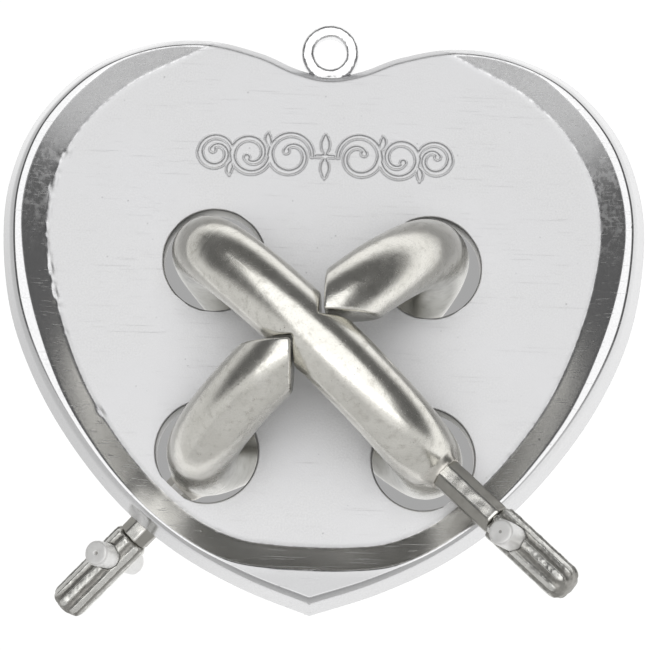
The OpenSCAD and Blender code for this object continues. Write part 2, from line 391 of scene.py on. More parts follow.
def build_heart():
    N = 912
    th = np.linspace(0, 2 * math.pi, N, endpoint=False)
    ray = np.stack([np.sin(th), np.cos(th)], 1)
    RH = reach(HEART_L, th)
    # samples along each ray at fixed depths inside the outline, then across the slope to the flat face
    fine = np.linspace(0, 9.0, 181)
    pts = CENTRE + ray[:, None, :] * (RH[:, None] - fine)[..., None]
    flat = pts.reshape(-1, 2)
    sdist = (-HEART_F(flat)).reshape(N, -1)
    fdist = FACE_F(flat).reshape(N, -1)
    want = np.array([0, .04, .08, .13, .18, .24, .30, .36, .42, .48, .53, .58, .63, .68, .73, .79, .86, .95, 1.08])
    r_wall = np.empty((N, len(want)))
    r_end = np.empty(N)
    for i in range(N):
        s = np.maximum.accumulate(sdist[i])
        r_wall[i] = np.interp(want, s + 1e-9 * np.arange(len(s)), fine)
        j = np.argmax(fdist[i] < -0.75) if (fdist[i] < -0.75).any() else len(fine) - 1
        r_end[i] = fine[j]
    r_end = np.maximum(r_end, r_wall[:, -1] + 0.8)
    kernel = np.hanning(25)
    kernel /= kernel.sum()
    r_end = np.convolve(np.concatenate([r_end[-12:], r_end, r_end[:12]]), kernel, "valid")
    u = np.linspace(0, 1, 27)[1:]
    r_in = r_wall[:, -1:] + (r_end - r_wall[:, -1])[:, None] * u
    R = RH[:, None] - np.concatenate([r_wall, r_in], 1)
    M = R.shape[1]
    P2 = CENTRE + ray[:, None, :] * R[..., None]
    flat = P2.reshape(-1, 2)
    hgt, s, d = front_height(flat)
    hgt = hgt + nicks(flat, d) * (s > 1.2)
    level = hgt.reshape(N, M)
    dval = d.reshape(N, M)
    sval = s.reshape(N, M)
    level[:, -1] = -FACE_Y
    verts = [np.stack([flat[:, 0], -level.ravel(), flat[:, 1] + HUB_Z], 1)]
    attr_d = [dval.ravel()]
    attr_s = [sval.ravel()]
    idx = np.arange(N * M).reshape(N, M)
    nxt = np.roll(idx, -1, 0)
    quads = [np.stack([idx[:, :-1], nxt[:, :-1], nxt[:, 1:], idx[:, 1:]], -1).reshape(-1, 4)[:, ::-1]]
    region = [np.full(len(quads[0]), 0)]
    base = N * M

    # back side: parting line round to the flat back
    want_b = np.array([.05, .1, .15, .2, .25, .3, .35, .4, .46, .54, .66, .9, 1.3])
    r_b = np.empty((N, len(want_b)))
    for i in range(N):
        sd = np.maximum.accumulate(sdist[i])
        r_b[i] = np.interp(want_b, sd + 1e-9 * np.arange(len(sd)), fine)
    RB = RH[:, None] - r_b
    B2 = CENTRE + ray[:, None, :] * RB[..., None]
    sb = np.broadcast_to(want_b, RB.shape)
    yb = back_height(sb)
    yb = yb.copy()
    yb[:, -1] = BACK_Y
    MB = RB.shape[1]
    fb = B2.reshape(-1, 2)
    verts.append(np.stack([fb[:, 0], yb.ravel(), fb[:, 1] + HUB_Z], 1))
    attr_d.append(np.where(sb.ravel() < 1.0, 5.0, -8.0))        # the flat back is satin too
    attr_s.append(sb.ravel())
    ib = base + np.arange(N * MB).reshape(N, MB)
    full = np.concatenate([idx[:, :1], ib], 1)
    nf = np.roll(full, -1, 0)
    q = np.stack([full[:, :-1], nf[:, :-1], nf[:, 1:], full[:, 1:]], -1).reshape(-1, 4)
    quads.append(q)
    region.append(np.full(len(q), 1))
    base += N * MB

    # four holes with rounded edges
    K = 128
    a = np.linspace(0, 2 * math.pi, K, endpoint=False)
    c, rr = 0.22, HOLE_R
    ang = np.linspace(0, math.pi / 2, 7)
    prof = [(rr + c * (1 - math.sin(t)), FACE_Y + c * (1 - math.cos(t))) for t in ang]
    prof += [(rr, y) for y in np.linspace(FACE_Y + c, BACK_Y - c, 7)[1:-1]]
    prof += [(rr + c * (1 - math.sin(t)), BACK_Y - c * (1 - math.cos(t))) for t in ang[::-1]]
    prof = np.array(prof)
    rims_f, rims_b, hubs = [], [], []
    for sx in (-1, 1):
        for sz in (-1, 1):
            cx, cz = sx * HOLE_DX / 2, sz * HOLE_DZ / 2
            hubs.append((cx, cz))
            vx = cx + prof[:, 0][:, None] * np.cos(a)
            vz = cz + prof[:, 0][:, None] * np.sin(a)
            vy = np.repeat(prof[:, 1][:, None], K, 1)
            verts.append(np.stack([vx.ravel(), vy.ravel(), vz.ravel() + HUB_Z], 1))
            attr_d.append(np.full(K * len(prof), -8.0))
            attr_s.append(np.full(K * len(prof), 9.0))
            ih = base + np.arange(K * len(prof)).reshape(len(prof), K)
            nh = np.roll(ih, -1, 1)
            q = np.stack([ih[:-1], nh[:-1], nh[1:], ih[1:]], -1).reshape(-1, 4)
            quads.append(q)
            region.append(np.full(len(q), 2))
            rims_f.append(ih[0])
            rims_b.append(ih[-1])
            base += K * len(prof)

    # ornament patch: a fine grid in the face
    h = 0.067
    nx, nz = int(2 * ORN_HALF[0] / h) + 1, int(2 * ORN_HALF[1] / h) + 1
    gx = ORN_C[0] + np.linspace(-ORN_HALF[0], ORN_HALF[0], nx)
    gz = ORN_C[1] + np.linspace(-ORN_HALF[1], ORN_HALF[1], nz)
    GX, GZ = np.meshgrid(gx, gz, indexing="ij")
    gp = np.stack([GX.ravel(), GZ.ravel()], 1)
    rel, din = ornament_relief(gp - ORN_C)
    edge = np.minimum(ORN_HALF[0] - np.abs(gp[:, 0] - ORN_C[0]), ORN_HALF[1] - np.abs(gp[:, 1] - ORN_C[1]))
    rel = rel * np.clip(edge / 0.2, 0, 1)
    verts.append(np.stack([gp[:, 0], FACE_Y - rel, gp[:, 1] + HUB_Z], 1))
    attr_d.append(np.full(len(gp), -8.0))
    attr_s.append(np.full(len(gp), 9.0))
    orn_from = base
    ig = base + np.arange(nx * nz).reshape(nx, nz)
    q = np.stack([ig[:-1, :-1], ig[1:, :-1], ig[1:, 1:], ig[:-1, 1:]], -1).reshape(-1, 4)
    quads.append(q)
    region.append(np.full(len(q), 3))
    patch_loop = np.concatenate([ig[:, 0], ig[-1, 1:], ig[-2::-1, -1], ig[0, -2:0:-1]])
    base += nx * nz

    V = np.concatenate(verts)
    D = np.concatenate(attr_d)
    S = np.concatenate(attr_s)

    # flat areas between the loops
    def fill(loops, holes_at, flip):
        ids = np.concatenate(loops)
        pts = [Vector((float(V[i, 0]), float(V[i, 2]))) for i in ids]
        n_loop = len(ids)
        edges, k = [], 0
        for L in loops:
            m = len(L)
            edges += [(k + i, k + (i + 1) % m) for i in range(m)]
            k += m
        extra = []
        outer = V[loops[0]][:, [0, 2]]
        for x in np.arange(-27, 28, 2.2):
            for z in np.arange(-53, 3, 2.2):
                q = np.array([[x, z]])
                if not inside(q, outer)[0] or seg_dist(q, outer, np.roll(outer, -1, 0))[0][0] < 1.2:
                    continue
                if any(math.hypot(x - cx, z - cz) < rad for cx, cz, rad in holes_at[0]):
                    continue
                if holes_at[1] is not None:
                    x0, x1, z0, z1 = holes_at[1]
                    if x0 - 0.8 < x < x1 + 0.8 and z0 - 0.8 < z < z1 + 0.8:
                        continue
                extra.append((x, z))
        pts += [Vector(e) for e in extra]
        res = delaunay_2d_cdt(pts, edges, [], 0, 1e-7)
        co, fs, orig = res[0], res[2], res[3]
        new_ids = []
        add = []
        for k2, o in enumerate(orig):
            o0 = [i for i in o if i < n_loop]
            if o0:
                new_ids.append(int(ids[o0[0]]))
            else:
                new_ids.append(len(V) + len(add))
                add.append(co[k2])
        cent = np.array([[(co[f[0]][0] + co[f[1]][0] + co[f[2]][0]) / 3, (co[f[0]][1] + co[f[1]][1] + co[f[2]][1]) / 3] for f in fs])
        keep = inside(cent, outer)
        for cx, cz, rad in holes_at[0]:
            keep &= np.hypot(cent[:, 0] - cx, cent[:, 1] - cz) > rad - 0.7
        if holes_at[1] is not None:
            x0, x1, z0, z1 = holes_at[1]
            keep &= ~((cent[:, 0] > x0) & (cent[:, 0] < x1) & (cent[:, 1] > z0) & (cent[:, 1] < z1))
        tri = np.array([[new_ids[i] for i in f] for f, k3 in zip(fs, keep) if k3])
        if flip:
            tri = tri[:, ::-1]
        return tri, np.array([[p[0], p[1]] for p in add]).reshape(-1, 2)

    holes = [(cx, cz + HUB_Z, HOLE_R + 0.22 + 0.6) for cx, cz in hubs]
    box = (gx[0], gx[-1], gz[0] + HUB_Z, gz[-1] + HUB_Z)
    tri_f, add = fill([idx[:, -1], *rims_f, patch_loop], (holes, box), False)
    V = np.concatenate([V, np.stack([add[:, 0], np.full(len(add), FACE_Y), add[:, 1]], 1)])
    D = np.concatenate([D, np.full(len(add), -8.0)])
    S = np.concatenate([S, np.full(len(add), 9.0)])
    tri_b, add = fill([ib[:, -1], *rims_b], (holes, None), True)
    V = np.concatenate([V, np.stack([add[:, 0], np.full(len(add), BACK_Y), add[:, 1]], 1)])
    D = np.concatenate([D, np.full(len(add), -8.0)])
    S = np.concatenate([S, np.full(len(add), 9.0)])

    Q = np.concatenate(quads)
    reg = np.concatenate(region + [np.full(len(tri_f), 4), np.full(len(tri_b), 5)])
    ob = new_mesh("heart_plate_visual", V, Q, np.concatenate([tri_f, tri_b]))
    float_layer(ob, "from_face", D)
    float_layer(ob, "from_edge", S)
    cut = np.zeros(len(V))
    cut[orn_from:orn_from + nx * nz] = np.clip(1 - np.abs(din) / 0.16, 0, 1)
    float_layer(ob, "cut", cut)
    # seam of sharp turns between flat fill and rounded edges stays smooth
    return ob, reg


# ---------------------------------------------------------------- placing
def placed(side, p):
    """Points of a ring's own frame in the row frame, in mm."""
    turn = rot("z", 0 if side > 0 else 180)
    m = rot("x", -LEAN) @ rot("z", -YAW) @ rot("y", 0 if side > 0 else -BACK_TURN) @ turn
    t = np.array([-SHIFT_X if side > 0 else -BACK_SHIFT_X, 0, HUB_Z + SHIFT_Z])
    return p @ m.T + t


def arm_to_ring(p):
    q = p - [RING_R, 0, 0]
    q = q @ rot("y", ARM_SWING).T + [RING_R, 0, 0]
    return q @ (rot("y", DIAG) @ rot("z", -(90 - ARM_ANGLE))).T


def ring_to_arm(p):
    q = p @ (rot("y", DIAG) @ rot("z", -(90 - ARM_ANGLE)))
    q = (q - [RING_R, 0, 0]) @ rot("y", ARM_SWING) + [RING_R, 0, 0]
    return q


RY = rot("y", DIAG)


def ring_field(side):
    cd, sd = math.cos(math.radians(DIAG)), math.sin(math.radians(DIAG))
    nx, nz = WAIST * cd, WAIST * sd
    wx, wz = (WAIST + PLAY) * cd, (WAIST + PLAY) * sd

    def f(q, fine=True):
        """q in the ring's plane frame: the ring lies in XY."""
        p = q @ RY.T
        rho = np.hypot(q[:, 0], q[:, 1])
        d = np.hypot(rho - RING_R, q[:, 2]) - TUBE_R
        x, y, z = p.T
        notch1 = smin(x - nx, z - nz, 0.25)
        notch2 = smin(-nx - x, -nz - z, 0.25)
        front = smax(smax(d, notch1, 0.22), notch2, 0.22)
        s1 = smax(x + wx, wz - z, 0.30)
        s2 = smax(wx - x, z + wz, 0.30)
        back = smax(d, np.minimum(s1, s2), 0.30)
        out = np.where(y < 0, front, back)
        # the fillet that the stem stands in
        a = ring_to_arm(p)
        ra = np.hypot(a[:, 1], a[:, 2])
        boss = np.maximum(ra - 1.62 - 0.10 * np.sin(3 * np.arctan2(a[:, 2], a[:, 1]) + side), np.abs(a[:, 0] - (RING_R + TUBE_R - 0.6)) - 0.95)
        out = np.where(y < 3, smin(out, boss, 0.9), out)
        if not fine:
            return out
        # cast skin: slight waviness and a faint parting line round the outside
        out = out + 0.010 * wobble(p, 6.0, 11 + side) + 0.002 * wobble(p, 1.6, 21 + side)
        equator = np.exp(-(q[:, 2] / 0.10) ** 2) * (rho > RING_R)
        out = out - 0.028 * equator * (0.6 + 0.4 * wobble(p, 4.0, 31))
        return out
    return f


def flatter_shading(ob, f, P, side):
    """Shading normals of a bar whose front run is straighter than a true circle."""
    e = 2e-3
    g = np.stack([f(P + e * np.eye(3)[i]) - f(P - e * np.eye(3)[i]) for i in range(3)], 1)
    g /= np.maximum(np.linalg.norm(g, axis=1), 1e-9)[:, None]
    psi = np.degrees(np.arctan2(g[:, 0], -g[:, 1]))
    m = np.hypot(g[:, 0], g[:, 1])
    to = np.interp(np.abs(psi), [0, 34, 46, 60, 80, 180], [0, 14.5, 27, 52, 80, 180]) * np.sign(psi)
    # only on the round front run, not in the notches or on the wedge faces
    rho = np.hypot(P[:, 0], P[:, 1])
    round_ = np.exp(-(np.hypot(rho - RING_R, P[:, 2]) - TUBE_R) ** 2 / 0.02)
    here = np.degrees(np.arctan2(P[:, 0], -P[:, 1]))
    w = round_ * np.clip((100 - np.abs(here)) / 20, 0, 1)
    psi = np.radians(psi + (to - psi) * w)
    n = np.stack([m * np.sin(psi), -m * np.cos(psi), g[:, 2]], 1)
    o = placed(side, np.zeros((1, 3)))
    n = placed(side, n @ RY.T) - o
    n /= np.linalg.norm(n, axis=1)[:, None]
    if len(n) == len(ob.data.vertices):
        ob.data.normals_split_custom_set_from_vertices(n.tolist())


def build_ring(side, name):
    f = ring_field(side)
    P, Q = surface_net(f, (-17.9, -17.9, -3.9), (18.4, 17.9, 3.9), 0.19)
    ob = new_mesh(name, placed(side, P @ RY.T), Q)
    flatter_shading(ob, f, P, side)
    rho = np.hypot(P[:, 0], P[:, 1])
    # painted shade: the mask below darkens the ring's inner side, except at the front, and at half strength where the
    # ring passes through the plate
    deep = np.clip((P[:, 1] + 11.0) / 5.0, 0, 1)
    near_plate = np.clip((4.6 - np.abs(placed(side, P @ RY.T)[:, 1])) / 2.0, 0, 1)
    float_layer(ob, "inner", np.maximum(np.clip((RING_R + 1.9 - rho) / 2.4, 0, 1) * deep, 0.50 * near_plate))
    float_layer(ob, "junction", np.exp(-np.maximum(0, np.linalg.norm(ring_to_arm(P @ RY.T) - [RING_R + TUBE_R, 0, 0], axis=1) - 1.6) / 1.1))
    return ob


def stem_field(q, fine=True):
    """q in the arm's frame, the axis along X."""
    out = None
    for i in range(8):
        a = math.radians(45 * i)
        d = q[:, 1] * math.cos(a) + q[:, 2] * math.sin(a) - STEM_AF / 2
        out = d if out is None else smax(out, d, 0.10)
    taper = 0.02 * np.clip((q[:, 0] - 20) / 5, -1, 1)
    out = out + taper
    out = smax(out, q[:, 0] - COLLAR_R, 0.3)
    out = smax(out, RING_R + 1.2 - q[:, 0], 0.1)
    return out + (0.006 * wobble(q, 1.8, 5) + 0.003 * wobble(q, 0.7, 6) if fine else 0)


def barrel_field(side):
    def f(q, fine=True):
        x, y, z = q.T
        r = np.hypot(y, z)
        ang = np.arctan2(z, y)
        d = r - BARREL_R
        for i in range(FLUTES):
            a = (i + 0.5) * 2 * math.pi / FLUTES
            g = np.hypot(y - (BARREL_R + 0.10) * math.cos(a), z - (BARREL_R + 0.10) * math.sin(a))
            d = smax(d, 0.37 - g, 0.10)
        tip = x - TIP_R + np.where(r < 5, 0.16 * r ** 2 * 0.6, 0)
        d = smax(d, tip, 0.9)
        d = smax(d, COLLAR_R - x, 0.45)
        # the bore that the pin is pressed into
        c, s = math.cos(math.radians(PIN_ROLL)), math.sin(math.radians(PIN_ROLL))
        px, pz = x - (TIP_R - PIN_BACK), -s * y + c * z
        bore = np.hypot(px, pz) - (PIN_R + 0.05)
        d = smax(d, -bore, 0.08)
        return d + (0.010 * wobble(q, 1.3, 3 + side) + 0.006 * wobble(q, 0.45, 9 + side) if fine else 0)
    return f


def pin_field(side):
    end = PIN_L - PIN_OUT

    def f(q, fine=True):
        """q in the pin's frame: the axis along Y, from -PIN_OUT to end."""
        x, y, z = q.T
        r = np.hypot(x, z)
        d = smax(r - PIN_R, y - end, 0.34)
        d = smax(d, -PIN_OUT - y, 0.34)
        dimple = 0.2 - np.hypot(r, (y - end) * 1.0)
        d = smax(d, dimple, 0.06)
        return d + (0.006 * wobble(q, 1.1, 13 + side) if fine else 0)
    return f


def build_arm(side, stem, barrel, pin):
    P, Q = surface_net(stem_field, (RING_R + 1.0, -1.8, -1.8), (COLLAR_R + 0.3, 1.8, 1.8), 0.085)
    a = new_mesh(stem, placed(side, arm_to_ring(P)), Q)
    e = 2e-3
    nn = np.stack([stem_field(P + e * np.eye(3)[i], False) - stem_field(P - e * np.eye(3)[i], False) for i in range(3)], 1)
    nn = placed(side, arm_to_ring(nn)) - placed(side, arm_to_ring(np.zeros((1, 3))))
    nn /= np.maximum(np.linalg.norm(nn, axis=1), 1e-9)[:, None]
    # painted shade: this mask darkens the stem's faces that turn sideways, away from front and back
    float_layer(a, "sides", np.clip((0.90 - np.abs(nn[:, 1])) / 0.12, 0, 1))
    float_layer(a, "along", P[:, 0])
    P, Q = surface_net(barrel_field(side), (COLLAR_R - 0.3, -2.1, -2.1), (TIP_R + 0.3, 2.1, 2.1), 0.075)
    b = new_mesh(barrel, placed(side, arm_to_ring(P)), Q)
    r = np.hypot(P[:, 1], P[:, 2])
    # painted shade: this mask darkens the barrel's flutes
    float_layer(b, "flute_shade", np.clip((BARREL_R - r) / 0.28, 0, 1))
    P, Q = surface_net(pin_field(side), (-1.5, -PIN_OUT - 0.2, -1.5), (1.5, PIN_L - PIN_OUT + 0.2, 1.5), 0.075)
    c, s = math.cos(math.radians(PIN_ROLL)), math.sin(math.radians(PIN_ROLL))
    W = np.stack([P[:, 0] + TIP_R - PIN_BACK, c * P[:, 1] - s * P[:, 2], s * P[:, 1] + c * P[:, 2]], 1)
    d = new_mesh(pin, placed(side, arm_to_ring(W)), Q)
    float_layer(d, "radius", np.hypot(P[:, 0], P[:, 2]))
    return a, b, d


def loop_field(p, fine=True):
    x, y, z = p.T
    rho = np.hypot(x, z)
    mid, half = (LOOP_ID + LOOP_OD) / 4, (LOOP_OD - LOOP_ID) / 4
    k = 0.34
    a = np.abs(rho - mid) - (half - k)
    b = np.abs(y) - (LOOP_T / 2 - k)
    d = np.hypot(np.maximum(a, 0), np.maximum(b, 0)) + np.minimum(np.maximum(a, b), 0) - k
    foot = (np.sqrt((x / 1.75) ** 2 + (y / 0.95) ** 2 + ((z + 3.05) / 0.82) ** 2) - 1) * 0.8
    d = smin(d, foot, 0.55)
    d = np.maximum(d, 0.02 + LOOP_ID / 2 - rho)
    return d + (0.010 * wobble(p, 1.4, 51) + 0.006 * wobble(p, 0.5, 52) if fine else 0)


def build_loop():
    P, Q = surface_net(loop_field, (-3.0, -1.3, -4.2), (3.0, 1.3, 3.0), 0.075)
    ob = new_mesh("hanging_loop_visual", P, Q)
    float_layer(ob, "foot", np.clip((-P[:, 2] - 1.9) / 0.9, 0, 1))
    return ob


# ---------------------------------------------------------------- materials
class Graph:
    def __init__(self, name):
        self.mat = bpy.data.materials.new(name)
        self.mat.use_nodes = True
        self.nt = self.mat.node_tree
        self.nt.nodes.clear()
        self.out = self.nt.nodes.new("ShaderNodeOutputMaterial")
        self.bsdf = self.nt.nodes.new("ShaderNodeBsdfPrincipled")
        self.link(self.bsdf.outputs["BSDF"], self.out.inputs["Surface"])
        tc = self.nt.nodes.new("ShaderNodeTexCoord")
        mp = self.nt.nodes.new("ShaderNodeMapping")
        mp.inputs["Scale"].default_value = (1000, 1000, 1000)
        self.link(tc.outputs["Object"], mp.inputs["Vector"])
        self.mm = mp.outputs["Vector"]

    def link(self, a, b):
        self.nt.links.new(a, b)

    def put(self, sock, v):
        if isinstance(v, bpy.types.NodeSocket):
            self.link(v, sock)
        else:
            sock.default_value = v

    def noise(self, scale, detail=3.0, rough=0.55, vec=None, distortion=0.0):
        n = self.nt.nodes.new("ShaderNodeTexNoise")
        n.inputs["Scale"].default_value = scale
        n.inputs["Detail"].default_value = detail
        n.inputs["Roughness"].default_value = rough
        n.inputs["Distortion"].default_value = distortion
        self.link(vec or self.mm, n.inputs["Vector"])
        return n.outputs["Fac"]

    def stretched(self, scale, rot_deg, vec=None):
        m = self.nt.nodes.new("ShaderNodeMapping")
        m.inputs["Rotation"].default_value = [math.radians(a) for a in rot_deg]
        m.inputs["Scale"].default_value = scale
        self.link(vec or self.mm, m.inputs["Vector"])
        return m.outputs["Vector"]

    def cells(self, scale, vec=None, feature="F1"):
        n = self.nt.nodes.new("ShaderNodeTexVoronoi")
        n.feature = feature
        n.inputs["Scale"].default_value = scale
        self.link(vec or self.mm, n.inputs["Vector"])
        return n.outputs["Distance"]

    def math(self, op, a, b=0.0, c=None, clamp=False):
        n = self.nt.nodes.new("ShaderNodeMath")
        n.operation = op
        n.use_clamp = clamp
        self.put(n.inputs[0], a)
        self.put(n.inputs[1], b)
        if c is not None:
            self.put(n.inputs[2], c)
        return n.outputs[0]

    def ramp(self, v, lo, hi, a=0.0, b=1.0, smooth=True):
        n = self.nt.nodes.new("ShaderNodeMapRange")
        n.interpolation_type = "SMOOTHSTEP" if smooth else "LINEAR"
        n.clamp = True
        self.put(n.inputs["Value"], v)
        for k, x in (("From Min", lo), ("From Max", hi), ("To Min", a), ("To Max", b)):
            n.inputs[k].default_value = x
        return n.outputs["Result"]

    def mix(self, fac, a, b):
        n = self.nt.nodes.new("ShaderNodeMix")
        n.data_type = "RGBA"
        self.put(n.inputs[0], fac)
        for s, v in ((n.inputs[6], a), (n.inputs[7], b)):
            if isinstance(v, bpy.types.NodeSocket):
                self.link(v, s)
            else:
                s.default_value = (*v, 1.0)
        return n.outputs[2]

    def attr(self, name):
        n = self.nt.nodes.new("ShaderNodeAttribute")
        n.attribute_type = "GEOMETRY"
        n.attribute_name = name
        return n.outputs["Fac"]

    def bump(self, height, strength, distance_mm, normal=None):
        n = self.nt.nodes.new("ShaderNodeBump")
        n.inputs["Strength"].default_value = strength
        n.inputs["Distance"].default_value = distance_mm * MM
        self.link(height, n.inputs["Height"])
        if normal is not None:
            self.link(normal, n.inputs["Normal"])
        return n.outputs["Normal"]

    def finish(self, color, roughness, normal=None, metallic=1.0):
        b = self.bsdf
        b.inputs["Metallic"].default_value = metallic
        self.link(color, b.inputs["Base Color"])
        self.link(roughness, b.inputs["Roughness"])
        if normal is not None:
            self.link(normal, b.inputs["Normal"])
        return self.mat


def plate_material():
    g = Graph("cast_zinc_plate")
    d = g.attr("from_face")
    s = g.attr("from_edge")
    cut = g.attr("cut")
    face = g.ramp(d, -0.10, 0.12, 1.0, 0.0)                  # 1 on the satin face
    grain = g.noise(5.5, 4.0, 0.62)
    sand = g.noise(16.0, 2.0, 0.6)
    cloud = g.noise(0.11, 4.0, 0.55)
    sc1 = g.noise(1.0, 2.0, 0.5, g.stretched((0.12, 1.0, 9.0), (0, 12, 0)))
    sc2 = g.noise(1.0, 2.0, 0.5, g.stretched((0.18, 1.0, 12.0), (0, -37, 0)))
    sc3 = g.noise(1.0, 2.0, 0.5, g.stretched((0.10, 1.0, 14.0), (0, 71, 0)))
    scr = g.math("MAXIMUM", g.ramp(sc1, 0.66, 0.74), g.math("MAXIMUM", g.ramp(sc2, 0.68, 0.76), g.ramp(sc3, 0.68, 0.75)))
    pits = g.ramp(g.cells(0.9), 0.0, 0.12, 1.0, 0.0)
    pits = g.math("MULTIPLY", pits, g.ramp(g.noise(0.35, 2.0), 0.52, 0.62))
    # colour: a satin face a little greyer than the polished rim, darker pits and cuts
    face_c = g.mix(g.ramp(grain, 0.30, 0.72), (0.70, 0.70, 0.705), (0.785, 0.785, 0.79))
    face_c = g.mix(g.ramp(cloud, 0.35, 0.70), face_c, (0.75, 0.75, 0.76))
    rim_c = g.mix(g.ramp(grain, 0.35, 0.7), (0.68, 0.68, 0.685), (0.74, 0.74, 0.745))
    tip_shade = g.nt.nodes.new("ShaderNodeSeparateXYZ")              # painted shade: the rim's top is darkened towards the lower tip
    g.link(g.mm, tip_shade.inputs[0])
    tip_shade = g.math("MULTIPLY", g.ramp(tip_shade.outputs["Z"], -49.5, -46.5, 1.0, 0.0), g.ramp(s, 0.9, 1.3))
    rim_c = g.mix(g.math("MULTIPLY", tip_shade, 0.75), rim_c, (0.42, 0.42, 0.425))
    col = g.mix(face, rim_c, face_c)
    col = g.mix(g.math("MULTIPLY", pits, 0.5), col, (0.33, 0.33, 0.34))
    col = g.mix(g.math("MULTIPLY", g.ramp(cut, 0.45, 1.0), 0.26), col, (0.26, 0.26, 0.27))
    # painted shade: a darker band, broken up by noise, along the foot of the rim's wall where it meets the face
    foot = g.math("MULTIPLY", g.ramp(d, -0.10, 0.10), g.ramp(d, 0.10, 0.45, 1.0, 0.0))
    col = g.mix(g.math("MULTIPLY", foot, g.ramp(g.noise(1.6, 3.0), 0.35, 0.65, 0.1, 0.55)), col, (0.30, 0.30, 0.31))
    rough_face = g.math("ADD", g.math("MULTIPLY", grain, 0.16), 0.42)
    wall = g.ramp(d, 1.9, 2.5, 1.0, 0.0)
    mottle = g.ramp(g.noise(1.5, 4.0, 0.7), 0.42, 0.66)
    upper = g.nt.nodes.new("ShaderNodeSeparateXYZ")
    g.link(g.mm, upper.inputs[0])
    upper = g.ramp(upper.outputs["Z"], -22.0, -14.0)
    rough_rim = g.math("ADD", g.math("MULTIPLY", cloud, 0.05), g.math("ADD", g.math("MULTIPLY", wall, 0.10), 0.09))
    rough_rim = g.math("ADD", rough_rim, g.math("MULTIPLY", g.math("MULTIPLY", wall, upper), g.math("MULTIPLY", mottle, 0.20)))
    n = g.nt.nodes.new("ShaderNodeMix")
    n.data_type = "FLOAT"
    g.link(face, n.inputs[0])
    g.link(rough_rim, n.inputs[2])
    g.link(rough_face, n.inputs[3])
    rough = g.math("ADD", n.outputs[0], g.math("MULTIPLY", scr, 0.12), clamp=True)
    hgt = g.math("ADD", g.math("MULTIPLY", grain, g.math("ADD", g.math("MULTIPLY", face, 0.8), 0.2)),
                 g.math("MULTIPLY", sand, g.math("MULTIPLY", face, 0.5)))
    hgt = g.math("SUBTRACT", hgt, g.math("MULTIPLY", scr, 0.35))
    hgt = g.math("SUBTRACT", hgt, g.math("MULTIPLY", pits, 1.5))
    nrm = g.bump(hgt, 0.55, 0.02)
    return g.finish(col, rough, nrm)


def cast_material(name, dark, mid, light, rough0, rough1, grain_mm, grain_depth, extra=None, inner=False):
    g = Graph(name)
    big = g.noise(0.30, 4.0, 0.6)
    med = g.noise(1.3, 4.0, 0.6)
    fine = g.noise(1.0 / grain_mm, 3.0, 0.6)
    pits = g.ramp(g.cells(1.8), 0.0, 0.16, 1.0, 0.0)
    pits = g.math("MULTIPLY", pits, g.ramp(g.noise(0.8, 2.0), 0.50, 0.62))
    sc = g.ramp(g.noise(1.0, 2.0, 0.5, g.stretched((0.3, 9.0, 9.0), (0, 40, 20))), 0.66, 0.76)
    col = g.mix(g.ramp(big, 0.32, 0.68), mid, light)
    col = g.mix(g.math("MULTIPLY", g.ramp(med, 0.50, 0.75), 0.45), col, dark)
    col = g.mix(g.math("MULTIPLY", g.ramp(fine, 0.25, 0.50, 1.0, 0.0), 0.35), col, dark)
    col = g.mix(g.math("MULTIPLY", pits, 0.7), col, tuple(0.45 * c for c in dark))
    rough = g.math("ADD", g.ramp(med, 0.30, 0.72, rough0, rough1), g.math("MULTIPLY", pits, 0.15))
    rough = g.math("ADD", rough, g.math("MULTIPLY", sc, 0.08), clamp=True)
    hgt = g.math("ADD", fine, g.math("MULTIPLY", med, 0.5))
    hgt = g.math("SUBTRACT", hgt, g.math("MULTIPLY", pits, 1.2))
    hgt = g.math("SUBTRACT", hgt, g.math("MULTIPLY", sc, 0.25))
    if extra:
        a = g.attr(extra[0])
        t = g.ramp(a, extra[1], extra[2])
        col = g.mix(g.math("MULTIPLY", t, extra[4]), col, extra[3])
        rough = g.math("ADD", rough, g.math("MULTIPLY", t, extra[5]), clamp=True)
        hgt = g.math("ADD", hgt, g.math("MULTIPLY", g.math("MULTIPLY", t, 1.5), g.noise(3.2, 3.0, 0.7)))
    if inner:                                   # painted shade: the ring is darkened on the inner side of its bend, except at the front, and where it runs through the plate's holes
        t = g.attr("inner")
        col = g.mix(g.math("MULTIPLY", t, 0.72), col, (0.20, 0.20, 0.185))
        rough = g.math("ADD", rough, g.math("MULTIPLY", t, 0.10), clamp=True)
    nrm = g.bump(hgt, 0.6, grain_depth)
    return g.finish(col, rough, nrm)


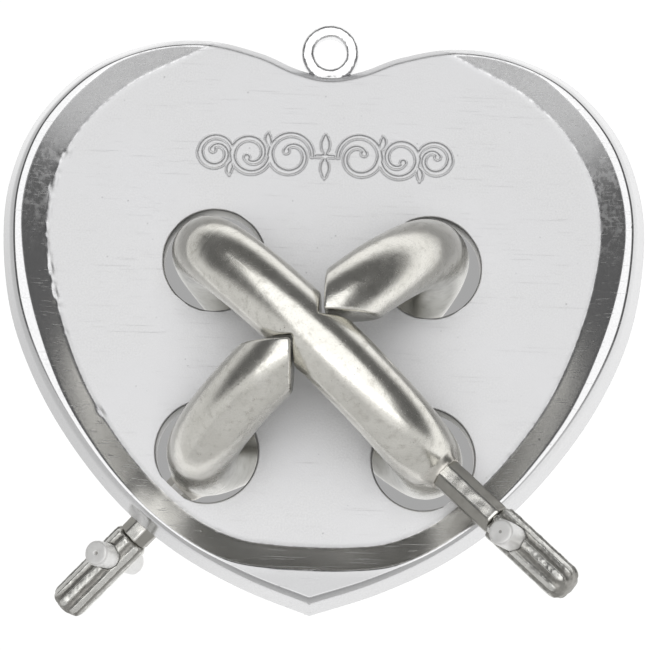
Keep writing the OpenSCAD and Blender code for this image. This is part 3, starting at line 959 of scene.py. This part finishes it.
def pin_material():
    g = Graph("turned_pin")
    r = g.attr("radius")
    rings = g.math("SINE", g.math("MULTIPLY", r, 52.0))
    fine = g.noise(6.0, 3.0, 0.6)
    med = g.noise(1.1, 3.0, 0.6)
    sc = g.ramp(g.noise(1.0, 2.0, 0.5, g.stretched((9.0, 0.4, 9.0), (0, 15, 10))), 0.64, 0.74)
    col = g.mix(g.ramp(med, 0.3, 0.7), (0.90, 0.895, 0.88), (0.96, 0.955, 0.94))
    # painted shade: darker in the dimple at the pin's end and in a ring on the rounded edges of its ends
    dimple_shade = g.ramp(r, 0.10, 0.20, 1.0, 0.0)
    edge = g.math("MULTIPLY", g.ramp(r, 0.98, 1.06), g.ramp(r, 1.10, 1.17, 1.0, 0.0))
    col = g.mix(g.math("MULTIPLY", g.math("MAXIMUM", dimple_shade, g.math("MULTIPLY", edge, 0.35)), 0.8), col, (0.30, 0.29, 0.27))
    rough = g.math("ADD", g.ramp(fine, 0.3, 0.7, 0.34, 0.46), g.math("MULTIPLY", sc, 0.08), clamp=True)
    hgt = g.math("ADD", g.math("MULTIPLY", fine, 0.7), g.math("MULTIPLY", rings, 0.12))
    hgt = g.math("SUBTRACT", hgt, g.math("MULTIPLY", sc, 0.4))
    return g.finish(col, rough, g.bump(hgt, 0.5, 0.012), metallic=0.35)


def floor_material():
    g = Graph("pale_floor")
    n = g.noise(0.02, 3.0)
    col = g.mix(g.ramp(n, 0.3, 0.7), (0.86, 0.86, 0.86), (0.88, 0.88, 0.88))
    rough = g.ramp(n, 0.3, 0.7, 0.75, 0.85)
    return g.finish(col, rough, metallic=0.0)


M_PLATE = plate_material()
# painted shade: both rings take the inner-side darkening (the last argument)
M_RING = {1: cast_material("nickel_ring_front", (0.50, 0.48, 0.43), (0.78, 0.765, 0.71), (0.86, 0.845, 0.79), 0.19, 0.27, 0.16, 0.008,
                           ("junction", 0.25, 1.0, (0.50, 0.47, 0.42), 0.5, 0.10), True),
          -1: cast_material("nickel_ring_back", (0.48, 0.47, 0.42), (0.77, 0.755, 0.70), (0.85, 0.835, 0.785), 0.19, 0.28, 0.17, 0.008,
                            ("junction", 0.25, 1.0, (0.50, 0.47, 0.42), 0.5, 0.10), True)}
# painted shade: the stem is darkened on its sideways faces
M_STEM = cast_material("cast_stem", (0.55, 0.53, 0.49), (0.82, 0.81, 0.77), (0.90, 0.89, 0.85), 0.16, 0.28, 0.13, 0.007,
                       ("sides", 0.2, 0.9, (0.30, 0.29, 0.26), 0.80, 0.14))
# painted shade: the barrel is darkened in its flutes
M_BARREL = cast_material("cast_barrel", (0.40, 0.39, 0.36), (0.74, 0.735, 0.70), (0.86, 0.855, 0.82), 0.24, 0.38, 0.14, 0.013,
                         ("flute_shade", 0.20, 0.9, (0.24, 0.23, 0.21), 0.78, 0.12))
M_LOOP = cast_material("plated_loop", (0.55, 0.55, 0.55), (0.84, 0.84, 0.845), (0.93, 0.93, 0.935), 0.16, 0.28, 0.14, 0.008,
                       ("foot", 0.0, 1.0, (0.40, 0.40, 0.40), 0.4, 0.12))
M_PIN = pin_material()


# ---------------------------------------------------------------- the pieces
def dress(ob, mat, node, body):
    ob.data.materials.append(mat)
    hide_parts(node)
    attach(ob, body)


heart, region = build_heart()
dress(heart, M_PLATE, "heart_plate", "heart")
loop = build_loop()
dress(loop, M_LOOP, "hanging_loop", "heart")
for side, body, word in ((1, "front_bar", "front"), (-1, "back_bar", "back")):
    ring = build_ring(side, word + "_ring_visual")
    dress(ring, M_RING[side], word + "_ring", body)
    a, b, c = build_arm(side, word + "_stem_visual", word + "_barrel_visual", word + "_pin_visual")
    dress(a, M_STEM, word + "_stem", body)
    dress(b, M_BARREL, word + "_barrel", body)
    dress(c, M_PIN, word + "_pin", body)

# ---------------------------------------------------------------- the stage
fm = new_mesh("floor", np.array([[-900, -900, -900], [900, -900, -900], [900, 900, -900], [-900, 900, -900]]), np.array([[0, 1, 2, 3]]))
fm.data.materials.append(floor_material())


def area(name, size, power, at, aim, color=(1, 1, 1)):
    l = bpy.data.lights.new(name, "AREA")
    l.shape = "RECTANGLE"
    l.size, l.size_y = size
    l.energy = power
    l.color = color
    o = bpy.data.objects.new(name, l)
    o.location = at
    o.rotation_mode = "QUATERNION"
    o.rotation_quaternion = (Vector(aim) - Vector(at)).to_track_quat("-Z", "Y")
    bpy.context.scene.collection.objects.link(o)
    return o


HUB = (0, 0, HUB_Z * MM)
area("softbox_front", (0.87, 0.87), 2.45, (-0.03, -0.75, 0.04), HUB)

world = bpy.data.worlds.new("studio")
bpy.context.scene.world = world
world.use_nodes = True
wt = world.node_tree
wt.nodes.clear()
wo = wt.nodes.new("ShaderNodeOutputWorld")
tcw = wt.nodes.new("ShaderNodeTexCoord")
sep = wt.nodes.new("ShaderNodeSeparateXYZ")
wt.links.new(tcw.outputs["Generated"], sep.inputs[0])


def wmath(op, a, b=0.0, clamp=False):
    n = wt.nodes.new("ShaderNodeMath")
    n.operation = op
    n.use_clamp = clamp
    for k, v in enumerate((a, b)):
        if isinstance(v, bpy.types.NodeSocket):
            wt.links.new(v, n.inputs[k])
        else:
            n.inputs[k].default_value = v
    return n.outputs[0]


def wstep(v, lo, hi, a, b):
    n = wt.nodes.new("ShaderNodeMapRange")
    n.interpolation_type = "SMOOTHSTEP"
    wt.links.new(v, n.inputs["Value"])
    for k, x in (("From Min", lo), ("From Max", hi)):
        n.inputs[k].default_value = x
    for k, x in (("To Min", a), ("To Max", b)):
        if isinstance(x, bpy.types.NodeSocket):
            wt.links.new(x, n.inputs[k])
        else:
            n.inputs[k].default_value = x
    return n.outputs["Result"]


def wdot(v):
    n = wt.nodes.new("ShaderNodeVectorMath")
    n.operation = "DOT_PRODUCT"
    wt.links.new(tcw.outputs["Generated"], n.inputs[0])
    n.inputs[1].default_value = v
    return n.outputs["Value"]


# a pale zone behind the front softbox, dark flags round it, a white cove behind the puzzle
glow = wstep(sep.outputs["Y"], -0.82, -0.73, 0.20, 0.0)
flags = wstep(sep.outputs["Z"], -0.38, -0.08, 0.68, 0.12)
cove = wstep(sep.outputs["X"], -0.7, -0.2, 0.66, 1.05)
back = wstep(sep.outputs["Y"], -0.30, 0.12, flags, cove)
total = wmath("ADD", back, glow)
bg = wt.nodes.new("ShaderNodeBackground")
wt.links.new(total, bg.inputs["Color"])
white = wt.nodes.new("ShaderNodeBackground")
white.inputs["Color"].default_value = (1, 1, 1, 1)
white.inputs["Strength"].default_value = 1.05
lp = wt.nodes.new("ShaderNodeLightPath")
mx = wt.nodes.new("ShaderNodeMixShader")
wt.links.new(lp.outputs["Is Camera Ray"], mx.inputs[0])
# painted shadow: camera rays see a grey spot far behind the plate, narrower than the heart, in place of the plate's
# shadow; it shows through the holes
HOLE_SHADOW_AIM = (-0.0155, 0.9908, 0.1338)
dot = wt.nodes.new("ShaderNodeVectorMath")
dot.operation = "DOT_PRODUCT"
nrmz = wt.nodes.new("ShaderNodeVectorMath")
nrmz.operation = "NORMALIZE"
wt.links.new(tcw.outputs["Generated"], nrmz.inputs[0])
wt.links.new(nrmz.outputs[0], dot.inputs[0])
dot.inputs[1].default_value = HOLE_SHADOW_AIM
hole_shadow_spot = wt.nodes.new("ShaderNodeMapRange")
hole_shadow_spot.interpolation_type = "SMOOTHSTEP"
hole_shadow_spot.inputs["From Min"].default_value = math.cos(math.radians(2.75))
hole_shadow_spot.inputs["From Max"].default_value = math.cos(math.radians(2.35))
hole_shadow_spot.inputs["To Min"].default_value = 1.0
hole_shadow_spot.inputs["To Max"].default_value = 0.36
wt.links.new(dot.outputs["Value"], hole_shadow_spot.inputs["Value"])
wt.links.new(hole_shadow_spot.outputs["Result"], white.inputs["Color"])
wt.links.new(bg.outputs[0], mx.inputs[1])
wt.links.new(white.outputs[0], mx.inputs[2])
wt.links.new(mx.outputs[0], wo.inputs["Surface"])

# ---------------------------------------------------------------- the camera
CAM_EL, CAM_AZ, CAM_ROLL = 7.687, 0.898, 2.172       # below, to the right, turned
CAM_D, CAM_SCALE, CAM_TX, CAM_TY = 472.57, 10.8155, -6.281, 37.413
ca, cb = math.radians(CAM_EL), math.radians(CAM_AZ)
C = CAM_D * np.array([math.sin(cb) * math.cos(ca), -math.cos(cb) * math.cos(ca), -math.sin(ca)])
fwd = -C / np.linalg.norm(C)
right = np.cross(fwd, [0, 0, 1.0])
right /= np.linalg.norm(right)
up = np.cross(right, fwd)
cr_, sr_ = math.cos(math.radians(CAM_ROLL)), math.sin(math.radians(CAM_ROLL))
r2, u2 = cr_ * right + sr_ * up, -sr_ * right + cr_ * up
F = CAM_SCALE * CAM_D
f2 = fwd * F - r2 * CAM_TX + u2 * CAM_TY
f2 /= np.linalg.norm(f2)
r2 = r2 - f2 * (r2 @ f2)
r2 /= np.linalg.norm(r2)
u2 = np.cross(r2, f2)
cam = bpy.data.cameras.new("camera")
cam.sensor_fit = "HORIZONTAL"
cam.sensor_width = 36.0
cam.lens = F / 650 * 36.0
cam.clip_start, cam.clip_end = 0.01, 20
co = bpy.data.objects.new("camera", cam)
m = Matrix(((r2[0], u2[0], -f2[0], C[0] * MM),
            (r2[1], u2[1], -f2[1], C[1] * MM),
            (r2[2], u2[2], -f2[2], (C[2] + HUB_Z) * MM),
            (0, 0, 0, 1)))
co.matrix_world = m
bpy.context.scene.collection.objects.link(co)
bpy.context.scene.camera = co
bpy.context.scene.view_settings.view_transform = "Standard"
bpy.context.scene.view_settings.look = "None"

bpy.context.view_layer.update()
